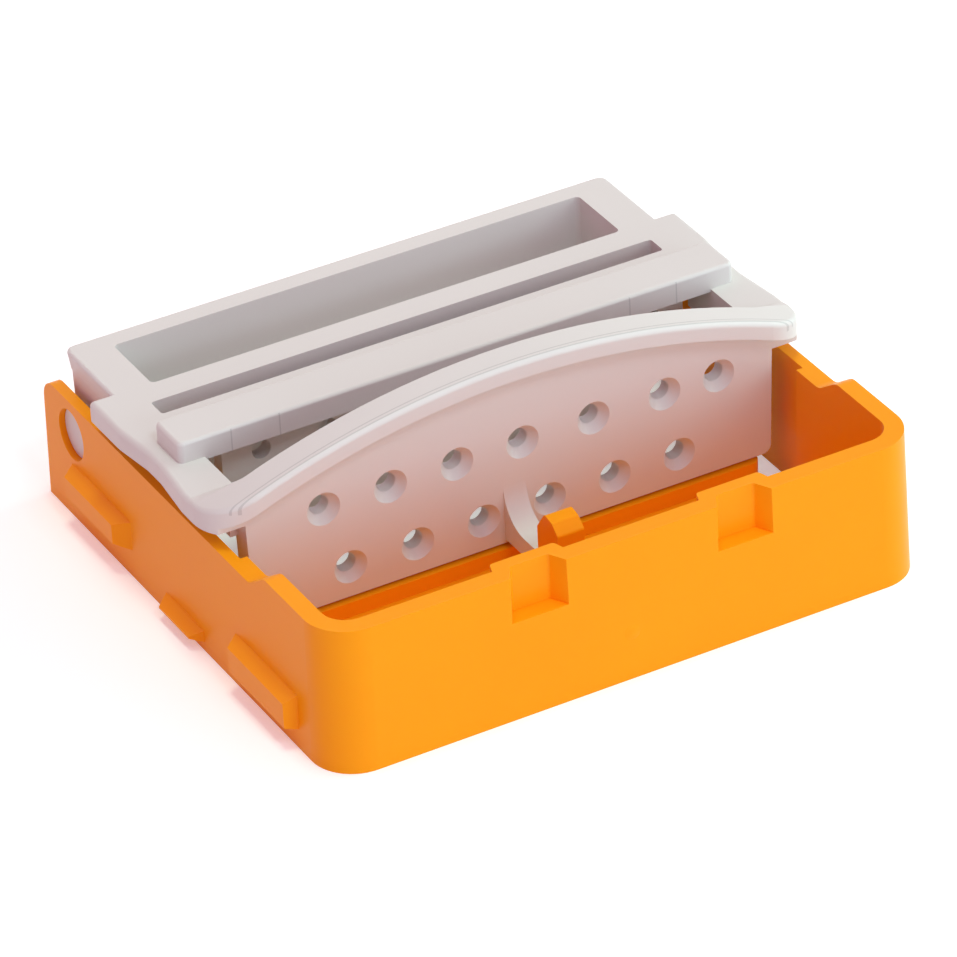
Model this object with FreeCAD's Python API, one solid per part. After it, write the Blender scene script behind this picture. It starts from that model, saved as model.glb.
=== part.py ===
"""Root canal file holder: a moulded open tray with a swinging insert that carries the files.

X runs along the long front wall, Y runs from the front wall to the open back and Z is up.
The origin is the middle of the footprint on the surface the tray stands on.
The insert is drawn shut, as it lies in the tray, and swings up about the two rear trunnions.
All lengths are in millimetres.
"""
import FreeCAD
import Part
import math
import os

V = FreeCAD.Vector

# Tray, outside
tray_length = 60.0
tray_depth = 55.3
front_height = 14.4
side_height = 12.4
outer_draft = 0.02
corner_radius = 4.2
back_corner_radius = 2.0

# Tray, walls: the sides are thick round the front bay and thin beside the insert
front_wall_top = 1.85
front_wall_foot = 2.2
bay_side_top = 1.75
bay_side_foot = 2.3
side_wall_top = 1.15
side_wall_foot = 2.15
bay_back_y = -9.1
bay_corner_radius = 2.4

# Tray, shoulder where the side walls rise to the front height
shoulder_foot_y = -12.9
shoulder_run = 2.9
shoulder_radius = 1.8

# Tray, floor of the front bay and the sill that the insert's panel comes down on
floor_thickness = 1.2
floor_back_y = -8.0
sill_inset = 4.8
sill_front_y = -7.3
sill_back_y = -5.0
sill_height = 2.7
sill_end_radius = 1.0

# Tray, label pockets in the front wall
pocket_centres = (-9.2, 11.4)
pocket_width = 5.6
pocket_floor_z = 9.85
pocket_depth = 1.75
pocket_flare = 0.95
pocket_wall = 1.3
pocket_corner_radius = 0.4

# Tray, coupling ribs on each side: middle in Y, length, bottom and top of the outer face, front run
side_ribs = ((16.85, 9.5, 3.2, 5.2, 1.9), (0.3, 5.8, 1.25, 1.45, 1.0), (-15.65, 10.3, 2.3, 4.8, 0.5))
rib_reach = 1.15
rib_back_run = 0.95
rib_slope = 0.8
rib_root_depth = 0.3

# Hinge
hinge_y = 22.2
hinge_below_top = 3.45
hinge_bore = 5.0
hinge_clearance = 0.06
trunnion_recess = 0.6

# Post in front of the thumb fin: its top is cut back towards the fin, so that the fin drops past it
post_width = 2.7
post_top_z = 10.3
post_gap = 0.5
post_lead_run = 1.4
post_lead_drop = 1.9
post_top_run = 1.3
post_top_fall = 0.25
post_nose_run = 1.0
post_nose_drop = 0.9
post_top_radius = 0.5
post_nose_radius = 0.4

# Insert, deck: the ears and arms reach out over the tray's side walls, the waist stays inside
deck_z = 15.86
deck_thickness = 2.0
ear_back_y = 16.3
ear_front_y = 10.4
waist_back_y = 5.9
waist_front_y = 3.4
arm_wide_y = -1.8
arm_overhang = 0.42
waist_overhang = -0.13
ear_corner_radius = 0.35
arm_corner_radius = 4.4
edge_round = 0.5
arm_bend_radius = 3.0
waist_bend_radius = 4.0
ear_bend_radius = 8.0

# Insert, rear frame: it turns between the side walls, so it widens only where it stands over them
frame_gap = 0.38
frame_flare = 0.3
frame_round = 0.3
frame_corner_radius = 0.9
frame_back_y = 25.8
frame_back_lean = 0.2

# Insert, well for the cleaning pad
well_end_wall = 3.5
well_front_y = 15.88
well_back_y = 23.6
well_floor_z = 7.0
well_bottom_z = 5.4
well_wall = 1.58
well_corner_radius = 0.5

# Insert, slot for the measuring strip
slot_inset = 4.13
slot_front_y = 10.72
slot_back_y = 13.0
slot_corner_radius = 0.3

# Insert, stop bar across the arms
bar_front_y = 2.3
bar_back_y = 7.04
bar_inset = 1.6
bar_height = 2.05
bar_round = 0.35
bar_corner_radius = 0.6
bar_sink = 0.3

# Insert, front opening with its side skirts and the second guide wall
opening_inset = 4.1
opening_corner_radius = 0.9
skirt_thickness = 1.6
skirt_bottom_z = 12.0
guide_front_y = 4.9
guide_thickness = 1.6
guide_left_inset = 6.9
guide_right_inset = 5.6
guide_shoulder_z = 10.5
guide_foot_inset = 9.5
guide_foot_z = 3.6
guide_foot_radius = 0.8

# Insert, panel with the file holes
panel_front_y = -6.8
panel_back_y = -4.6
panel_inset = 3.15
panel_foot_inset = 3.55
panel_foot_z = 3.0
panel_foot_radius = 0.9

# Insert, arched rim: its top is round about a line parallel to Y and ends at the arms' edges
rim_crown_z = 22.25
rim_height = 1.7
rim_front_y = -8.4
rim_back_y = -5.2
ramp_foot_y = -2.9

# File holes: the lower row is even, the upper row has two holes moved aside
lower_row_z = 6.05
lower_row = (-16.85, -10.1, -3.37, 3.37, 10.1, 16.85)
upper_row_z = 12.9
upper_row = (-19.15, -12.47, -5.78, 0.87, 8.15, 15.51, 21.15)
hole_rim = 3.3
hole_bore = 1.9
hole_rim_depth = 0.9

# Thumb fin on the panel
fin_x = -0.15
fin_width = 2.3
fin_top_z = 8.8
fin_reach = 5.9
fin_radius = 3.5
fin_nose_z = 5.3
fin_nose_flat = 2.4
fin_foot_rise = 0.4

# How far a cutting block passes its cut, and how far a wall bites into the one that carries it
BEYOND = 3.0
BITE = 0.5


def wire(points, place):
    """Closed wire through (a, b, radius) corners; each corner with a radius gets a tangent arc.

    place turns the two flat coordinates into a point in space.
    """
    count = len(points)
    starts, ends, middles = [], [], []
    for i, (a, b, radius) in enumerate(points):
        here = V(a, b, 0)
        back = V(points[i - 1][0], points[i - 1][1], 0) - here
        on = V(points[(i + 1) % count][0], points[(i + 1) % count][1], 0) - here
        back.normalize()
        on.normalize()
        half = back.getAngle(on) / 2
        if radius <= 0 or half > math.radians(89.9):
            starts.append(here)
            ends.append(here)
            middles.append(None)
            continue
        run = radius / math.tan(half)
        inward = back + on
        inward.normalize()
        starts.append(here + back * run)
        ends.append(here + on * run)
        middles.append(here + inward * (radius / math.sin(half) - radius))
    edges = []
    for i in range(count):
        if middles[i] is not None:
            flat = (starts[i], middles[i], ends[i])
            edges.append(Part.Arc(*[place(p.x, p.y) for p in flat]).toShape())
        after = starts[(i + 1) % count]
        if ends[i].distanceToPoint(after) > 1e-6:
            edges.append(Part.makeLine(place(ends[i].x, ends[i].y), place(after.x, after.y)))
    return Part.Wire(edges)


def plan(z):
    """Places flat coordinates as X and Y at height z."""
    return lambda a, b: V(a, b, z)


def side(x):
    """Places flat coordinates as Y and Z at distance x."""
    return lambda a, b: V(x, a, b)


def front(y):
    """Places flat coordinates as X and Z at depth y."""
    return lambda a, b: V(a, y, b)


def upright(points, bottom, top):
    """Plan outline drawn straight up from bottom to top."""
    return Part.Face(wire(points, plan(bottom))).extrude(V(0, 0, top - bottom))


def across(points, left, right):
    """Side outline drawn along X from left to right."""
    return Part.Face(wire(points, side(left))).extrude(V(right - left, 0, 0))


def through(points, near, far):
    """Front outline drawn along Y from near to far."""
    return Part.Face(wire(points, front(near))).extrude(V(0, far - near, 0))


def block(x0, x1, y0, y1, z0, z1):
    """Plain block between two corners."""
    return Part.makeBox(x1 - x0, y1 - y0, z1 - z0, V(x0, y0, z0))


def rectangle(half_width, front_y, back_y, front_radius=0.0, back_radius=0.0):
    """Plan rectangle centred on X, with its own corner radius at the front and the back."""
    return [(-half_width, front_y, front_radius), (half_width, front_y, front_radius),
            (half_width, back_y, back_radius), (-half_width, back_y, back_radius)]


def tapered(bottom, top, z0, z1):
    """Solid between two plan outlines with like corners, for walls with draft."""
    return Part.makeLoft([wire(bottom, plan(z0)), wire(top, plan(z1))], True, True)


def mirrored(shape):
    """The shape with its copy across the middle plane."""
    return shape.fuse(shape.mirror(V(0, 0, 0), V(1, 0, 0)))


def rounded(shape, radius, picks):
    """Rounds the edges for which picks is true."""
    return shape.makeFillet(radius, [edge for edge in shape.Edges if picks(edge)])


half_length = tray_length / 2
half_depth = tray_depth / 2
hinge_z = side_height - hinge_below_top
deck_under_z = deck_z - deck_thickness
arm_half_width = half_length + arm_overhang
opening_half_width = half_length - opening_inset
rim_rise = rim_crown_z - deck_z
arch_radius = (arm_half_width ** 2 + rim_rise ** 2) / (2 * rim_rise)
arch_axis_z = rim_crown_z - arch_radius
rim_end_y = rim_front_y + arm_corner_radius


def side_inside(z):
    """Half the width between the thin side walls at height z."""
    flare = (side_wall_foot - side_wall_top) / side_height - outer_draft
    return half_length - side_wall_foot + flare * z


def tray_shell():
    """Side and front walls with draft, open at the back and underneath."""
    lean = outer_draft * front_height
    outside = tapered(rectangle(half_length, -half_depth, half_depth, corner_radius),
                      rectangle(half_length - lean, -half_depth + lean, half_depth, corner_radius),
                      0, front_height)
    bay_foot = rectangle(half_length - bay_side_foot, -half_depth + front_wall_foot,
                         bay_back_y, bay_corner_radius)
    bay_top = rectangle(half_length - lean - bay_side_top, -half_depth + lean + front_wall_top,
                        bay_back_y, bay_corner_radius)
    bay = tapered(bay_foot, bay_top, 0, front_height)
    rear_foot = rectangle(side_inside(0), bay_back_y, half_depth + BEYOND)
    rear_top = rectangle(side_inside(front_height), bay_back_y, half_depth + BEYOND)
    return outside.cut(bay).cut(tapered(rear_foot, rear_top, 0, front_height))


def above_sides():
    """Room over the side walls: the shoulder up to the front height and the rounded back corner."""
    crest_y = shoulder_foot_y - shoulder_run
    high = front_height + BEYOND
    beyond = half_depth + BEYOND
    return across([(crest_y, high, 0), (crest_y, front_height, 0),
                   (shoulder_foot_y, side_height, shoulder_radius),
                   (half_depth, side_height, 0), (half_depth, side_height - back_corner_radius, 0),
                   (beyond, side_height - back_corner_radius, 0), (beyond, high, 0)],
                  -half_length - BEYOND, half_length + BEYOND)


def back_corner():
    """Rounded top corner at the back end of the side walls."""
    low = side_height - back_corner_radius
    inner = half_depth - back_corner_radius
    square = block(-half_length, half_length, inner, half_depth, low, side_height)
    disc = Part.makeCylinder(back_corner_radius, tray_length, V(-half_length, inner, low), V(1, 0, 0))
    return square.cut(disc)


def crest_round():
    """Takes the sharp crest off the shoulder with one arc."""
    crest_y = shoulder_foot_y - shoulder_run
    slope = math.atan2(front_height - side_height, shoulder_run)
    run = shoulder_radius * math.tan(slope / 2)
    start = V(0, crest_y - run, front_height)
    end = V(0, crest_y + run * math.cos(slope), front_height - run * math.sin(slope))
    centre = V(0, start.y, front_height - shoulder_radius)
    middle = centre + V(0, math.sin(slope / 2), math.cos(slope / 2)) * shoulder_radius
    left = V(-half_length - BEYOND, 0, 0)
    edges = [Part.makeLine(left + start, left + V(0, crest_y, front_height)),
             Part.makeLine(left + V(0, crest_y, front_height), left + end),
             Part.Arc(left + end, left + middle, left + start).toShape()]
    return Part.Face(Part.Wire(edges)).extrude(V(tray_length + 2 * BEYOND, 0, 0))


def pocket_outline(centre, grow):
    """Plan outline of a front pocket, wider at its mouth; grow pushes it out by a wall."""
    mouth = pocket_width / 2 + grow
    bottom = mouth - pocket_flare
    front_y = -half_depth - BEYOND
    face_y = -half_depth + outer_draft * pocket_floor_z
    back_y = face_y + pocket_depth + grow
    return [(centre - mouth, front_y, 0), (centre + mouth, front_y, 0), (centre + mouth, face_y, 0),
            (centre + bottom, back_y, pocket_corner_radius),
            (centre - bottom, back_y, pocket_corner_radius), (centre - mouth, face_y, 0)]


def pockets():
    """The room of both pockets, open at the top."""
    made = [upright(pocket_outline(c, 0), pocket_floor_z, front_height + BEYOND) for c in pocket_centres]
    return made[0].multiFuse(made[1:])


def pocket_backs():
    """The wall that carries each pocket, standing into the bay; its front half is in the front wall."""
    made = []
    inside_y = -half_depth + outer_draft * pocket_floor_z + front_wall_top / 2
    keep = block(-half_length, half_length, inside_y, 0, 0, front_height)
    for centre in pocket_centres:
        back = upright(pocket_outline(centre, pocket_wall), pocket_floor_z - pocket_wall, front_height)
        made.append(back.common(keep))
    return made


def rib(middle, length, low, high, front_run):
    """Coupling rib on the left wall: a long block whose ends and top run into the wall."""
    def outline(x, y0, y1, z0, z1):
        return wire([(y0, z0, 0), (y1, z0, 0), (y1, z1, 0), (y0, z1, 0)], side(x))
    y0, y1 = middle - length / 2, middle + length / 2
    crest_x = -half_length - rib_reach
    root_x = -half_length + outer_draft * high + rib_root_depth
    under = max(low - rib_slope / 2, 0)
    crest = outline(crest_x, y0, y1, low, high)
    root = outline(root_x, y0 - front_run, y1 + rib_back_run, under, high + rib_slope)
    return Part.makeLoft([root, crest], True, True)


def bay_floor():
    """Floor of the front bay with the raised sill under the panel."""
    reach = half_length - bay_side_foot + BITE
    plate = block(-reach, reach, -half_depth + front_wall_foot - BITE, floor_back_y, 0, floor_thickness)
    sill_half = half_length - sill_inset
    sill = upright(rectangle(sill_half, sill_front_y, sill_back_y, sill_end_radius), 0, sill_height)
    neck = block(-sill_half + sill_end_radius, sill_half - sill_end_radius,
                 floor_back_y - BITE, sill_front_y + BITE, 0, floor_thickness)
    return plate.fuse(sill).fuse(neck)


def post():
    """Post in front of the fin, with its rear top edge cut back and its front one sloped."""
    back_y = panel_front_y - fin_reach - post_gap
    top_y = back_y - post_lead_run
    nose_y = top_y - post_top_run
    front_y = nose_y - post_nose_run
    nose_z = post_top_z - post_top_fall
    root_z = floor_thickness / 2
    return across([(back_y, root_z, 0), (back_y, post_top_z - post_lead_drop, post_top_radius),
                   (top_y, post_top_z, post_top_radius), (nose_y, nose_z, post_nose_radius),
                   (front_y, nose_z - post_nose_drop, post_nose_radius),
                   (front_y - outer_draft * post_top_z, root_z, 0)],
                  fin_x - post_width / 2, fin_x + post_width / 2)


def base_tray():
    """The whole tray as one moulding."""
    shell = tray_shell().cut(above_sides()).cut(back_corner()).cut(crest_round())
    ribs = [rib(*values) for values in side_ribs]
    ribs += [one.mirror(V(0, 0, 0), V(1, 0, 0)) for one in ribs]
    shell = shell.multiFuse([bay_floor(), post()] + pocket_backs() + ribs).cut(pockets())
    bores = Part.makeCylinder(hinge_bore / 2, tray_length + 2 * BEYOND,
                              V(-half_length - BEYOND, hinge_y, hinge_z), V(1, 0, 0))
    return shell.cut(bores).removeSplitter()


def deck_outline():
    """Plan outline of the deck in front of the rear frame: ears, waisted arms and round front."""
    wide, waist = arm_half_width, half_length + waist_overhang
    right = [(wide, rim_front_y, arm_corner_radius), (wide, arm_wide_y, arm_bend_radius),
             (waist, waist_front_y, arm_bend_radius), (waist, waist_back_y, waist_bend_radius),
             (wide, ear_front_y, ear_bend_radius), (wide, ear_back_y, ear_corner_radius)]
    left = [(-x, y, r) for x, y, r in reversed(right)]
    return right + left


def arch(radius, front_y, back_y):
    """Cylinder about the arch's axis, for the rim's top and underside."""
    return Part.makeCylinder(radius, back_y - front_y, V(0, front_y, arch_axis_z), V(0, 1, 0))


def on_outer_top(edge):
    """True for a top edge that follows the deck's outline, along the rim's front too."""
    if edge.BoundBox.ZMin < deck_z - edge_round:
        return False
    middle = edge.valueAt((edge.FirstParameter + edge.LastParameter) / 2)
    foot = Part.Vertex(middle.x, middle.y, 0)
    return wire(deck_outline(), plan(0)).distToShape(foot)[0] < 1e-3 and edge.BoundBox.ZMax > deck_z - 1e-3


def deck():
    """Deck plate from the foot of the ramps to the ears, with soft outer edges."""
    plate = upright(deck_outline(), deck_under_z, deck_z)
    beyond = half_length + BEYOND
    plate = plate.cut(block(-beyond, beyond, rim_front_y - BEYOND, ramp_foot_y, 0, deck_z + BEYOND))
    return rounded(plate, edge_round, on_outer_top)


def rim_blank():
    """Solid front end under the arch, whose top comes down to the deck at the arms' outer edges."""
    crown = deck_z + 3 * BEYOND
    band = upright(deck_outline(), deck_under_z, crown)
    wide = arm_half_width + BEYOND
    wide_y = rim_end_y + BEYOND * (rim_end_y - rim_back_y) / (arm_half_width - opening_half_width)
    band = band.cut(upright([(-wide, wide_y, 0), (-opening_half_width, rim_back_y, 0),
                             (opening_half_width, rim_back_y, 0), (wide, wide_y, 0),
                             (wide, ear_back_y + BEYOND, 0), (-wide, ear_back_y + BEYOND, 0)],
                            0, crown))
    band = band.common(arch(arch_radius, rim_front_y - BEYOND, wide_y))
    return rounded(band, edge_round, on_outer_top)


def rim(blank):
    """Arched band along the front, with the room under it cut away in front of and behind the panel."""
    crown = deck_z + 3 * BEYOND
    beyond = half_length + BEYOND
    bay = block(-beyond, beyond, rim_front_y - BEYOND, panel_front_y, 0, crown)
    under = arch_radius - rim_height
    band = blank.cut(bay.common(arch(under, rim_front_y - BEYOND, panel_front_y)))
    behind = block(-opening_half_width, opening_half_width, panel_front_y, rim_back_y, 0, crown)
    return band.cut(behind.common(arch(under, panel_front_y, rim_back_y)))


def ramps(blank):
    """Front parts of the arms, whose top rises from the deck to the rim's slanted ends."""
    inner, outer = opening_half_width, arm_half_width
    foot = wire([(inner, deck_under_z, 0), (inner, deck_z, 0), (outer, deck_z, edge_round),
                 (outer, deck_under_z, 0)], front(ramp_foot_y))
    ends = [face for face in blank.Faces if face.CenterOfMass.x > inner and on_rim_end(face)]
    return mirrored(Part.makeLoft([ends[0].OuterWire, foot], True, True))


def on_rim_end(face):
    """True for a face all of whose corners lie on the slanted plane at the rim's right end."""
    slant = (rim_end_y - rim_back_y) / (arm_half_width - opening_half_width)
    return all(abs(corner.Y - rim_back_y - slant * (corner.X - opening_half_width)) < 1e-4
               for corner in face.Vertexes)


def panel():
    """Upright front panel, trimmed to the arch."""
    half, foot = half_length - panel_inset, half_length - panel_foot_inset
    top = rim_crown_z
    plate = through([(-foot, panel_foot_z, panel_foot_radius), (foot, panel_foot_z, panel_foot_radius),
                     (half, deck_z, 0), (half, top, 0), (-half, top, 0), (-half, deck_z, 0)],
                    panel_front_y, panel_back_y)
    return plate.common(arch(arch_radius - rim_height / 2, panel_front_y, panel_back_y))


def fin():
    """Thumb fin: a curved lip on the panel that a finger lifts."""
    x0 = fin_x - fin_width / 2
    nose_y = panel_front_y - fin_reach
    centre = V(x0, nose_y + fin_nose_flat, fin_nose_z + fin_radius)
    foot_z, root_y = panel_foot_z + fin_foot_rise, panel_front_y + BITE
    body = across([(root_y, foot_z, 0), (root_y, fin_top_z, 0), (nose_y, fin_top_z, 0), (nose_y, foot_z, 0)],
                  x0, x0 + fin_width)
    scoop = Part.makeCylinder(fin_radius, fin_width, centre, V(1, 0, 0))
    ahead = block(x0, x0 + fin_width, nose_y, centre.y, fin_nose_z, fin_top_z)
    return body.cut(scoop).cut(ahead)


def frame_outline(z):
    """Plan outline of the rear frame at height z, below the deck."""
    half = side_inside(well_bottom_z) - frame_gap + outer_draft * (z - well_bottom_z)
    return rectangle(half, well_front_y - well_wall, frame_back_y - frame_back_lean,
                     0, frame_corner_radius)


def rear_frame():
    """Deep box behind the slot, with the room for the pad left to cut, and the frame over it."""
    low, under = frame_outline(well_bottom_z), frame_outline(deck_under_z)
    half, front_y = under[1][0], well_front_y - well_wall
    plate = through([(-half, deck_under_z, 0), (half, deck_under_z, 0),
                     (half + frame_flare, deck_z, 0), (-half - frame_flare, deck_z, 0)],
                    front_y, frame_back_y)
    plate = rounded(plate, frame_corner_radius, on_frame_corner)
    plate = rounded(plate, frame_round, on_frame_top)
    return [tapered(low, under, well_bottom_z, deck_under_z), plate]


def on_frame_corner(edge):
    """True for the two upright edges at the back of the rear frame."""
    box = edge.BoundBox
    return box.YMin > frame_back_y - 1e-3 and box.ZLength > deck_thickness / 2


def on_frame_top(edge):
    """True for the rear frame's top edges, apart from the front one, which lies in the deck."""
    box = edge.BoundBox
    return box.ZMin > deck_z - 1e-6 and box.YMax > well_front_y - well_wall + 1e-3


def hanging_walls():
    """Everything that hangs under the deck in front of the well."""
    inner = opening_half_width
    skirt = block(inner, inner + skirt_thickness, panel_back_y - BITE, guide_front_y + guide_thickness,
                  skirt_bottom_z, deck_under_z + BITE)
    foot = half_length - guide_foot_inset
    left, right = guide_left_inset - half_length, half_length - guide_right_inset
    guide = through([(-foot, guide_foot_z, guide_foot_radius), (foot, guide_foot_z, guide_foot_radius),
                     (foot, guide_shoulder_z, guide_foot_radius), (right, guide_shoulder_z, 0),
                     (right, deck_under_z + BITE, 0), (left, deck_under_z + BITE, 0),
                     (left, guide_shoulder_z, 0), (-foot, guide_shoulder_z, guide_foot_radius)],
                    guide_front_y, guide_front_y + guide_thickness)
    return [mirrored(skirt), guide]


def openings():
    """Front opening, slot and well, cut right through the deck."""
    high = deck_z + BEYOND
    opening = upright(rectangle(opening_half_width, panel_back_y, guide_front_y, opening_corner_radius),
                      deck_under_z - BEYOND, deck_z)
    slot = upright(rectangle(half_length - slot_inset, slot_front_y, slot_back_y,
                             slot_corner_radius, slot_corner_radius), 0, high)
    well_half = side_inside(well_bottom_z) - frame_gap - well_end_wall
    well = upright(rectangle(well_half, well_front_y, well_back_y,
                             well_corner_radius, well_corner_radius), well_floor_z, high)
    return [opening, slot, well]


def stop_bar():
    """Raised bar across both arms, with soft edges and ends."""
    bar = upright(rectangle(half_length - bar_inset, bar_front_y, bar_back_y,
                            bar_corner_radius, bar_corner_radius),
                  deck_z - bar_sink, deck_z + bar_height)
    return rounded(bar, bar_round, lambda edge: edge.BoundBox.ZMin > deck_z + bar_height - 1e-6)


def file_holes():
    """Stepped holes of both rows, through the panel and on through the guide wall."""
    made = []
    for row, z in ((lower_row, lower_row_z), (upper_row, upper_row_z)):
        for x in row:
            mouth = Part.makeCone(hole_rim / 2, hole_bore / 2, hole_rim_depth,
                                  V(x, panel_front_y, z), V(0, 1, 0))
            bore = Part.makeCylinder(hole_bore / 2, 3 * BEYOND, V(x, panel_front_y, z), V(0, 1, 0))
            guide = Part.makeCylinder(hole_bore / 2, guide_thickness + 2 * BITE,
                                      V(x, guide_front_y - BITE, z), V(0, 1, 0))
            made += [mouth, bore, guide]
    return made


def trunnions():
    """Short round pins that turn in the tray's side walls."""
    root = side_inside(well_bottom_z) - frame_gap - 2 * BITE
    reach = half_length - outer_draft * hinge_z - trunnion_recess
    radius = hinge_bore / 2 - hinge_clearance
    return mirrored(Part.makeCylinder(radius, reach - root, V(root, hinge_y, hinge_z), V(1, 0, 0)))


def file_insert():
    """The swinging insert as one moulding."""
    blank = rim_blank()
    body = deck().multiFuse([rim(blank), ramps(blank), panel()] + rear_frame() + hanging_walls())
    for room in openings():
        body = body.cut(room)
    body = body.multiFuse([stop_bar(), fin(), trunnions()])
    for hole in file_holes():
        body = body.cut(hole)
    return body.removeSplitter()


def write(name, shape):
    """Checks a node and writes its STEP file."""
    print(name, "solids", len(shape.Solids), "valid", shape.isValid(), "volume %.1f" % shape.Volume)
    print(shape.BoundBox)
    shape.exportStep("parts/%s.step" % name)


os.makedirs("parts", exist_ok=True)
write("base_tray", base_tray())
write("file_insert", file_insert())
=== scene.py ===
"""Looks of a root canal file holder: an orange moulded tray with a light grey swinging insert.

The frame holds both mouldings at their real size. This file gives them their plastics, adds a gate mark
and faint darker lines, those on the rim being painted shade of its groove, and sets the stage, the lamps
and the camera.
"""
import math

import bpy
import numpy as np
from mathutils import Matrix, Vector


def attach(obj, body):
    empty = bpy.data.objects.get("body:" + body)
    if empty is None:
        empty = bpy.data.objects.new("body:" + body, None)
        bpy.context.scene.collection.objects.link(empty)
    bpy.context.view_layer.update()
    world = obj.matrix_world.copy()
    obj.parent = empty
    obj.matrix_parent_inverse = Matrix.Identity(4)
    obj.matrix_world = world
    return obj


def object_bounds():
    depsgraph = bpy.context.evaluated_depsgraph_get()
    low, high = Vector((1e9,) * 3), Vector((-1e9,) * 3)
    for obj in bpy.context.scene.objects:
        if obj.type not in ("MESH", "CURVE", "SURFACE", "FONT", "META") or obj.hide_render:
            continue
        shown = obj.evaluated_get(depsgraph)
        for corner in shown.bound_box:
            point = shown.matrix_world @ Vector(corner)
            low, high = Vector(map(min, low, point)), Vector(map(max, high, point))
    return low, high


bl_info = {
    "name": "Root canal file holder looks",
    "version": (1, 0, 0),
    "blender": (4, 5, 0),
    "location": "3D View > Sidebar > File holder",
    "description": "Finishes the moulded tray and its insert and lights them",
    "category": "Object",
}

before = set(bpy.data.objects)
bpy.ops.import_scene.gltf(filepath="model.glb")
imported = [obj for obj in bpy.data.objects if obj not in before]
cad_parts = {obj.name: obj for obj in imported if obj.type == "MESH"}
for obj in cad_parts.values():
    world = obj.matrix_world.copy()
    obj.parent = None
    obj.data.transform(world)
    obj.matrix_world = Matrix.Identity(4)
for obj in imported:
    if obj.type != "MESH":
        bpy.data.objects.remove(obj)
CAD_BOX = [list(map(float, corner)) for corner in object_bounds()]
TRAY = "base_tray"
INSERT = "file_insert"
MM = 0.001
PHOTO_WIDTH = 957

# Darker lines on the insert: planes across Y on the rim, painted shade of its groove, and across X on
# the stop bar's front
LINE = 0.14 * MM
LINE_SHADE = 0.45
RIM_GROOVE_SHADE_Y = (-8.02 * MM, -7.62 * MM)
RIM_MIDDLE_Z, RIM_SPAN_Z = 19.2 * MM, 6.4 * MM
BAR_LINES = (-23.2 * MM, -18.4 * MM, 17.4 * MM, 22.3 * MM)
BAR_FRONT_Y = 2.3 * MM

# Gate mark on the tray's front wall: where the plastic came in
GATE_X, GATE_Z = -0.3 * MM, 4.8 * MM
GATE_RADIUS, GATE_HEIGHT = 0.85 * MM, 0.09 * MM
GATE_SINK = 0.01 * MM
WALL_LEAN = 0.02

# Places of the colour sockets on a Mix node, which has sockets of the same name for other kinds
COLOUR_A, COLOUR_B, COLOUR_RESULT = 6, 7, 2

FLOOR_HALF = 3.0
FLOOR_GLOW = 0.3
LAMP_AIM = (0, 0, 8 * MM)
SENSOR_WIDTH = 36.0


class TrayFinish(bpy.types.PropertyGroup):
    """Orange plastic of the tray."""
    colour: bpy.props.FloatVectorProperty(
        name="Colour", description="Colour of the orange plastic", subtype="COLOR", size=3,
        default=(1.0, 0.345, 0.004), min=0, max=1)
    roughness: bpy.props.FloatProperty(
        name="Roughness", description="How dull the surface is", default=0.34,
        min=0, max=1, subtype="FACTOR")
    glow: bpy.props.FloatProperty(
        name="Glow", description="Share of light that spreads inside the plastic", default=0.12,
        min=0, max=1, subtype="FACTOR")
    grain: bpy.props.FloatProperty(
        name="Grain", description="Size of the fine surface waviness", default=1.6 * MM, unit="LENGTH")


class InsertFinish(bpy.types.PropertyGroup):
    """Light grey plastic of the insert."""
    colour: bpy.props.FloatVectorProperty(
        name="Colour", description="Colour of the grey plastic", subtype="COLOR", size=3,
        default=(0.72, 0.70, 0.665), min=0, max=1)
    roughness: bpy.props.FloatProperty(
        name="Roughness", description="How dull the surface is", default=0.42,
        min=0, max=1, subtype="FACTOR")
    grain: bpy.props.FloatProperty(
        name="Grain", description="Size of the fine surface waviness", default=0.9 * MM, unit="LENGTH")
    # Strength of the darker lines: painted shade of the rim's groove, and the lines on the stop bar
    lines: bpy.props.FloatProperty(
        name="Lines", description="Strength of the faint mould lines", default=0.35, min=0, max=1,
        subtype="FACTOR")


class StageSetting(bpy.types.PropertyGroup):
    """Camera, lamps and floor."""
    azimuth: bpy.props.FloatProperty(
        name="Azimuth", description="Turn of the camera round the part, 0 looks along +Y",
        default=math.radians(-27.70), subtype="ANGLE")
    elevation: bpy.props.FloatProperty(
        name="Elevation", description="Height of the camera above the horizon",
        default=math.radians(32.55), subtype="ANGLE")
    roll: bpy.props.FloatProperty(
        name="Roll", description="Tilt of the picture", default=math.radians(-2.97), subtype="ANGLE")
    distance: bpy.props.FloatProperty(
        name="Distance", description="From the part's origin to the camera along the view",
        default=570.68 * MM, unit="LENGTH")
    aside: bpy.props.FloatProperty(
        name="Aside", description="Shift of the camera to its right", default=-0.38 * MM, unit="LENGTH")
    above: bpy.props.FloatProperty(
        name="Above", description="Shift of the camera upwards in the picture", default=4.81 * MM,
        unit="LENGTH")
    focal: bpy.props.FloatProperty(
        name="Focal length", description="In picture widths", default=6308.35 / PHOTO_WIDTH, min=0.5)
    lamps: bpy.props.FloatProperty(
        name="Lamps", description="Share of the lamps' full power", default=1.0, min=0, subtype="FACTOR")
    sky: bpy.props.FloatProperty(
        name="Sky", description="Strength of the even light from all sides", default=0.55, min=0)
    sky_colour: bpy.props.FloatVectorProperty(
        name="Sky colour", description="Warm tint of the even light, as from the room behind the camera",
        subtype="COLOR", size=3, default=(1.0, 0.50, 0.66), min=0, max=1)


def node_material(name):
    """A new material with its Principled shader, ready for more nodes."""
    material = bpy.data.materials.new(name)
    material.use_nodes = True
    tree = material.node_tree
    return material, tree, tree.nodes["Principled BSDF"]


def add(tree, kind, **values):
    """Adds a node and sets its inputs by name, or its own settings where no input has the name."""
    node = tree.nodes.new(kind)
    for key, value in values.items():
        if key in node.inputs:
            node.inputs[key].default_value = value
        else:
            setattr(node, key, value)
    return node


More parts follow.
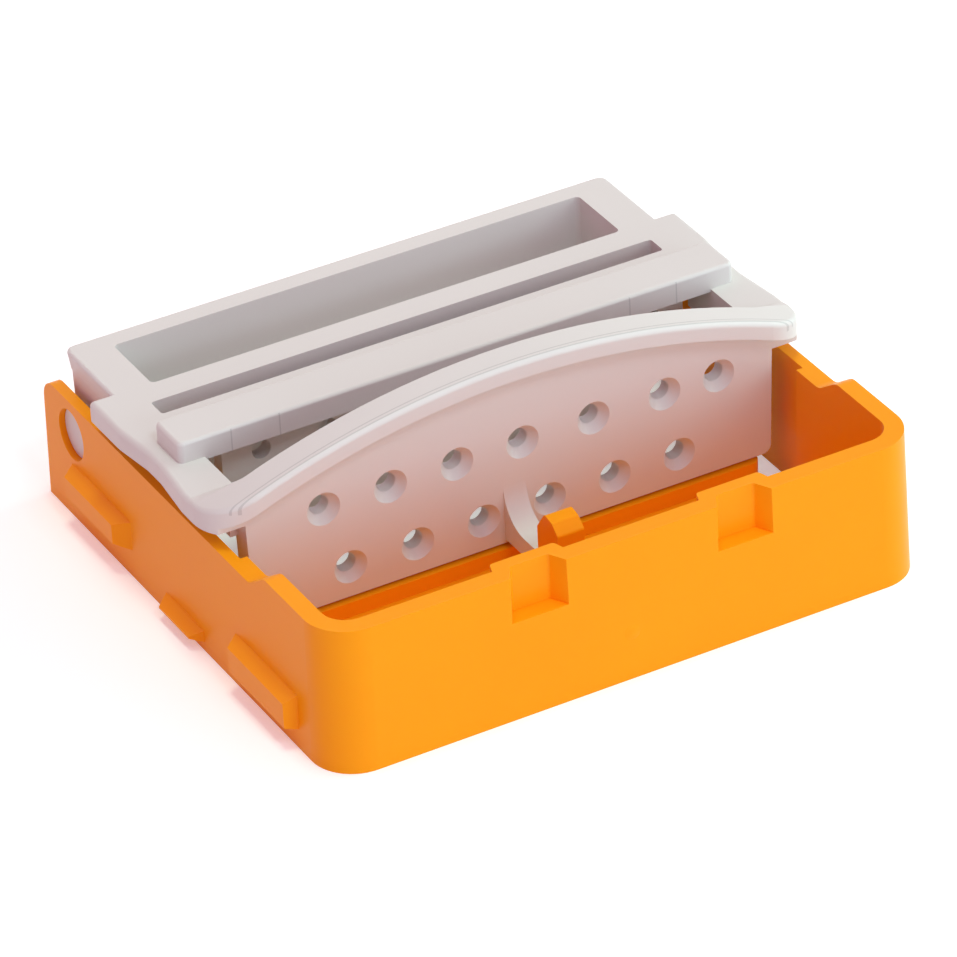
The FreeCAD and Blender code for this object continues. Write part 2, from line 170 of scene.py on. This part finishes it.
def fine_waves(tree, shader, size, strength, distance):
    """Object-space noise of the given size as a very shallow bump."""
    place = add(tree, "ShaderNodeTexCoord")
    noise = add(tree, "ShaderNodeTexNoise", Scale=1 / size, Detail=3.0, Roughness=0.6)
    bump = add(tree, "ShaderNodeBump", Strength=strength, Distance=distance)
    tree.links.new(place.outputs["Object"], noise.inputs["Vector"])
    tree.links.new(noise.outputs["Fac"], bump.inputs["Height"])
    tree.links.new(bump.outputs["Normal"], shader.inputs["Normal"])
    return place


def stripe(tree, place, axis, middle, width):
    """One within half a width of a plane across the axis, else zero."""
    split = add(tree, "ShaderNodeSeparateXYZ")
    near = add(tree, "ShaderNodeMath", operation="COMPARE")
    near.inputs[1].default_value = middle
    near.inputs[2].default_value = width / 2
    tree.links.new(place.outputs["Object"], split.inputs[0])
    tree.links.new(split.outputs[axis], near.inputs[0])
    return near.outputs[0]


def joined(tree, first, last, operation="MULTIPLY"):
    """Product of two masks, or their sum with the operation ADD."""
    node = add(tree, "ShaderNodeMath", operation=operation)
    tree.links.new(first, node.inputs[0])
    tree.links.new(last, node.inputs[1])
    return node.outputs[0]


def rim_groove_shade_and_bar_lines(tree, place, shader, finish):
    """Faint darker lines: two along the rim's front edge, painted shade of its groove, and four on the
    stop bar.
    """
    # The two rim lines are painted shade of the groove along the rim's front edge
    first_line = stripe(tree, place, "Y", RIM_GROOVE_SHADE_Y[0], LINE)
    last_line = stripe(tree, place, "Y", RIM_GROOVE_SHADE_Y[1], LINE)
    rim_groove_shade = joined(tree, first_line, last_line, "ADD")
    rim_groove_shade = joined(tree, rim_groove_shade, stripe(tree, place, "Z", RIM_MIDDLE_Z, RIM_SPAN_Z))
    bar_lines = stripe(tree, place, "X", BAR_LINES[0], LINE)
    for x in BAR_LINES[1:]:
        bar_lines = joined(tree, bar_lines, stripe(tree, place, "X", x, LINE), "ADD")
    bar_lines = joined(tree, bar_lines, stripe(tree, place, "Y", BAR_FRONT_Y, LINE))
    share = add(tree, "ShaderNodeMath", operation="MULTIPLY")
    share.inputs[1].default_value = finish.lines
    tree.links.new(joined(tree, rim_groove_shade, bar_lines, "ADD"), share.inputs[0])
    mix = add(tree, "ShaderNodeMix", data_type="RGBA")
    plain = shader.inputs["Base Color"].links[0].from_socket
    tree.links.new(share.outputs[0], mix.inputs["Factor"])
    tree.links.new(plain, mix.inputs[COLOUR_A])
    mix.inputs[COLOUR_B].default_value = (*[c * LINE_SHADE for c in finish.colour], 1)
    tree.links.new(mix.outputs[COLOUR_RESULT], shader.inputs["Base Color"])


def mottled(tree, place, shader, colour, scale, spread):
    """Slow changes of shade, as in coloured plastic that has flowed."""
    noise = add(tree, "ShaderNodeTexNoise", Scale=scale, Detail=2.0)
    ramp = add(tree, "ShaderNodeValToRGB")
    ramp.color_ramp.elements[0].position = 0.3
    ramp.color_ramp.elements[1].position = 0.7
    ramp.color_ramp.elements[0].color = [c * (1 - spread) for c in colour] + [1]
    ramp.color_ramp.elements[1].color = [min(1, c * (1 + spread)) for c in colour] + [1]
    tree.links.new(place.outputs["Object"], noise.inputs["Vector"])
    tree.links.new(noise.outputs["Fac"], ramp.inputs["Fac"])
    tree.links.new(ramp.outputs["Color"], shader.inputs["Base Color"])


def tray_plastic(finish):
    """Glossy orange plastic that lets a little light through."""
    material, tree, shader = node_material("tray_plastic")
    place = fine_waves(tree, shader, finish.grain, strength=0.25, distance=0.02 * MM)
    mottled(tree, place, shader, finish.colour, scale=60.0, spread=0.02)
    shader.inputs["Roughness"].default_value = finish.roughness
    shader.inputs["IOR"].default_value = 1.5
    shader.inputs["Specular IOR Level"].default_value = 0.12
    shader.inputs["Subsurface Weight"].default_value = finish.glow
    shader.inputs["Subsurface Radius"].default_value = (1.0, 0.35, 0.05)
    shader.inputs["Subsurface Scale"].default_value = 1.5 * MM
    return material


def insert_plastic(finish):
    """Satin grey plastic."""
    material, tree, shader = node_material("insert_plastic")
    place = fine_waves(tree, shader, finish.grain, strength=0.2, distance=0.02 * MM)
    mottled(tree, place, shader, finish.colour, scale=45.0, spread=0.012)
    # Darker lines: painted shade of the rim's groove, and lines on the stop bar's front
    rim_groove_shade_and_bar_lines(tree, place, shader, finish)
    shader.inputs["Roughness"].default_value = finish.roughness
    shader.inputs["IOR"].default_value = 1.48
    shader.inputs["Specular IOR Level"].default_value = 0.3
    return material


def dress(node, material):
    """Gives a node of the frame its material in every slot."""
    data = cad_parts[node].data
    if not data.materials:
        data.materials.append(material)
    for i in range(len(data.materials)):
        data.materials[i] = material


# Lamps: place and side in metres, then the power of its red, green and blue in watts
LAMPS = {
    "front": ((0.10, -0.55, 0.12), 0.35, (0.66, 1.06, 1.14)),
    "right": ((0.50, -0.05, 0.25), 0.35, (0.76, 1.26, 1.12)),
    "ceiling": ((0.0, -0.03, 1.30), 0.25, (3.5, 5.1, 4.1)),
    "soft_box": ((0.05, -0.75, 0.95), 0.30, (1.6, 2.3, 2.6)),
    "behind": ((0.0, 0.45, 0.35), 0.35, (0.20, 0.22, 0.20)),
    "low_right": ((0.45, -0.55, 0.15), 0.30, (0.40, 0.48, 0.47)),
}


def area_lamp(name, place, size, watts):
    """Square lamp of the given size and power per colour that faces the middle of the part."""
    data = bpy.data.lights.new(name, "AREA")
    data.shape = "SQUARE"
    data.size = size
    data.energy = max(watts)
    data.color = [w / max(watts) for w in watts]
    lamp = bpy.data.objects.new(name, data)
    bpy.context.scene.collection.objects.link(lamp)
    start = np.array(place)
    back = start - np.array(LAMP_AIM)
    back = back / np.linalg.norm(back)
    side = np.cross((0, 0, 1), back)
    side = side / np.linalg.norm(side)
    rise = np.cross(back, side)
    lamp.matrix_world = matrix(side, rise, back, start)
    return lamp


def matrix(x_axis, y_axis, z_axis, place):
    """Object matrix from three axes and a place."""
    columns = np.eye(4)
    columns[:3, 0], columns[:3, 1], columns[:3, 2], columns[:3, 3] = x_axis, y_axis, z_axis, place
    return Matrix(columns.tolist())


def camera_matrix(setting):
    """Camera axes: Z points from the part to the camera, and the roll turns X in the picture."""
    a, e, r = setting.azimuth, setting.elevation, setting.roll
    back = np.array([math.sin(a) * math.cos(e), -math.cos(a) * math.cos(e), math.sin(e)])
    side = np.cross((0, 0, 1), back)
    side = side / np.linalg.norm(side)
    rise = np.cross(back, side)
    x_axis = math.cos(r) * side + math.sin(r) * rise
    y_axis = -math.sin(r) * side + math.cos(r) * rise
    place = x_axis * setting.aside + y_axis * setting.above + back * setting.distance
    return matrix(x_axis, y_axis, back, place)


def is_seen(tree):
    """One where a ray comes from the camera or a mirror or glass surface, else zero."""
    path = add(tree, "ShaderNodeLightPath")
    first = add(tree, "ShaderNodeMath", operation="MAXIMUM")
    last = add(tree, "ShaderNodeMath", operation="MAXIMUM")
    tree.links.new(path.outputs["Is Camera Ray"], first.inputs[0])
    tree.links.new(path.outputs["Is Glossy Ray"], first.inputs[1])
    tree.links.new(first.outputs[0], last.inputs[0])
    tree.links.new(path.outputs["Is Transmission Ray"], last.inputs[1])
    return last


def white_world(strength, colour):
    """White where it is seen, and an even light of the given strength and colour elsewhere."""
    world = bpy.data.worlds.new("studio")
    bpy.context.scene.world = world
    world.use_nodes = True
    tree = world.node_tree
    tree.nodes.clear()
    out = add(tree, "ShaderNodeOutputWorld")
    light = add(tree, "ShaderNodeBackground", Color=(*colour, 1), Strength=strength)
    seen = add(tree, "ShaderNodeBackground", Color=(1, 1, 1, 1), Strength=1.0)
    mix = add(tree, "ShaderNodeMixShader")
    tree.links.new(is_seen(tree).outputs[0], mix.inputs[0])
    tree.links.new(light.outputs[0], mix.inputs[1])
    tree.links.new(seen.outputs[0], mix.inputs[2])
    tree.links.new(mix.outputs[0], out.inputs[0])


def floor_material():
    """Pale floor that adds a little white where the camera sees it, so only the shadow is left."""
    material, tree, shader = node_material("floor_white")
    shader.inputs["Base Color"].default_value = (0.9, 0.9, 0.9, 1)
    shader.inputs["Roughness"].default_value = 0.9
    shader.inputs["Specular IOR Level"].default_value = 0.1
    glow = add(tree, "ShaderNodeEmission", Color=(1, 1, 1, 1))
    share = add(tree, "ShaderNodeMath", operation="MULTIPLY")
    share.inputs[1].default_value = FLOOR_GLOW
    total = add(tree, "ShaderNodeAddShader")
    tree.links.new(is_seen(tree).outputs[0], share.inputs[0])
    tree.links.new(share.outputs[0], glow.inputs["Strength"])
    tree.links.new(shader.outputs[0], total.inputs[0])
    tree.links.new(glow.outputs[0], total.inputs[1])
    tree.links.new(total.outputs[0], tree.nodes["Material Output"].inputs["Surface"])
    return material


def gate_mark():
    """Low round dome on the front wall.

    On a grid of radius r and angle t, x and z go round the middle by r cos t and r sin t, and the
    height over the wall is GATE_HEIGHT times (1 - (r / GATE_RADIUS) squared), sunk a little at the edge.
    """
    rings, around = 8, 32
    turns = np.arange(around) * 2 * math.pi / around
    r, t = np.meshgrid(np.linspace(0, 1, rings + 1)[1:], turns, indexing="ij")
    x = GATE_X + GATE_RADIUS * r * np.cos(t)
    z = GATE_Z + GATE_RADIUS * r * np.sin(t)
    wall = CAD_BOX[0][1] + WALL_LEAN * z
    y = wall - GATE_HEIGHT * (1 - r ** 2) + GATE_SINK * r
    tip = (GATE_X, CAD_BOX[0][1] + WALL_LEAN * GATE_Z - GATE_HEIGHT, GATE_Z)
    points = np.vstack([[tip], np.column_stack([x.ravel(), y.ravel(), z.ravel()])])
    here = np.arange(around)
    after = (here + 1) % around
    faces = [(0, 1 + a, 1 + b) for a, b in zip(here, after)]
    for ring in range(rings - 1):
        low, high = 1 + ring * around, 1 + (ring + 1) * around
        faces += [(low + a, high + a, high + b, low + b) for a, b in zip(here, after)]
    data = bpy.data.meshes.new("gate_mark")
    data.from_pydata(points.tolist(), [], [tuple(int(i) for i in face) for face in faces])
    data.shade_smooth()
    piece = bpy.data.objects.new("gate_mark", data)
    bpy.context.scene.collection.objects.link(piece)
    return piece


class HOLDER_OT_tray(bpy.types.Operator):
    """Give the tray its orange plastic and its gate mark"""
    bl_idname = "holder.tray"
    bl_label = "Tray plastic"

    def execute(self, context):
        plastic = tray_plastic(context.scene.holder_tray)
        dress(TRAY, plastic)
        mark = gate_mark()
        mark.data.materials.append(plastic)
        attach(mark, "tray")
        return {"FINISHED"}


class HOLDER_OT_insert(bpy.types.Operator):
    """Give the insert its grey plastic"""
    bl_idname = "holder.insert"
    bl_label = "Insert plastic"

    def execute(self, context):
        dress(INSERT, insert_plastic(context.scene.holder_insert))
        return {"FINISHED"}


class HOLDER_OT_stage(bpy.types.Operator):
    """Add the floor, the lamps, the white surroundings and the camera"""
    bl_idname = "holder.stage"
    bl_label = "Stage"

    def execute(self, context):
        setting = context.scene.holder_stage
        half = FLOOR_HALF
        corners = [(-half, -half, 0), (half, -half, 0), (half, half, 0), (-half, half, 0)]
        data = bpy.data.meshes.new("floor")
        data.from_pydata(corners, [], [(0, 1, 2, 3)])
        data.materials.append(floor_material())
        floor = bpy.data.objects.new("floor", data)
        context.scene.collection.objects.link(floor)
        white_world(setting.sky, setting.sky_colour)
        for name, (place, size, watts) in LAMPS.items():
            area_lamp(name, place, size, [w * setting.lamps for w in watts])
        data = bpy.data.cameras.new("camera")
        data.sensor_width = SENSOR_WIDTH
        data.lens = setting.focal * data.sensor_width
        data.clip_start = 0.01
        camera = bpy.data.objects.new("camera", data)
        context.scene.collection.objects.link(camera)
        camera.matrix_world = camera_matrix(setting)
        context.scene.camera = camera
        context.scene.view_settings.view_transform = "Standard"
        return {"FINISHED"}


class HOLDER_PT_panel(bpy.types.Panel):
    """Lists the steps that finish the part"""
    bl_idname = "HOLDER_PT_panel"
    bl_label = "File holder"
    bl_space_type = "VIEW_3D"
    bl_region_type = "UI"
    bl_category = "File holder"

    def draw(self, context):
        for step in STEPS:
            self.layout.operator(step.bl_idname)


STEPS = (HOLDER_OT_tray, HOLDER_OT_insert, HOLDER_OT_stage)
CLASSES = (TrayFinish, InsertFinish, StageSetting) + STEPS + (HOLDER_PT_panel,)


def register():
    for cls in CLASSES:
        bpy.utils.register_class(cls)
    bpy.types.Scene.holder_tray = bpy.props.PointerProperty(type=TrayFinish)
    bpy.types.Scene.holder_insert = bpy.props.PointerProperty(type=InsertFinish)
    bpy.types.Scene.holder_stage = bpy.props.PointerProperty(type=StageSetting)


def unregister():
    del bpy.types.Scene.holder_stage
    del bpy.types.Scene.holder_insert
    del bpy.types.Scene.holder_tray
    for cls in reversed(CLASSES):
        bpy.utils.unregister_class(cls)


def main():
    """Registers the add-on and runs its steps."""
    register()
    bpy.ops.holder.tray()
    bpy.ops.holder.insert()
    bpy.ops.holder.stage()


if __name__ == "__main__":
    main()
